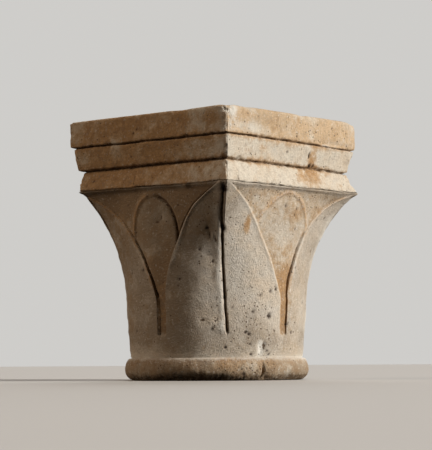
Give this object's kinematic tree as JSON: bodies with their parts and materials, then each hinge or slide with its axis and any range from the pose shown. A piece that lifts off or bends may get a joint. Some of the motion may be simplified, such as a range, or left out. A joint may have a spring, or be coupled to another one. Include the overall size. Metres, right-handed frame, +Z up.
{
  "type": "limestone capital",
  "caption": "Square-topped carved stone capital with a stepped abacus, leaf corners, sunk tongues between them and a round foot ring.",
  "frame": {"origin": "centre of the round underside, on the plane the capital stands on", "axes": "+Z up from the underside to the flat top of the abacus; the abacus faces look along +X, +Y, -X and -Y"},
  "size_m": [0.2804, 0.2804, 0.3535],
  "materials": {
    "limestone": "weathered matt, finely pored, with brown stains"
  },
  "bodies": {
    "root": {"capital": "limestone"}
  },
  "joints": []
}
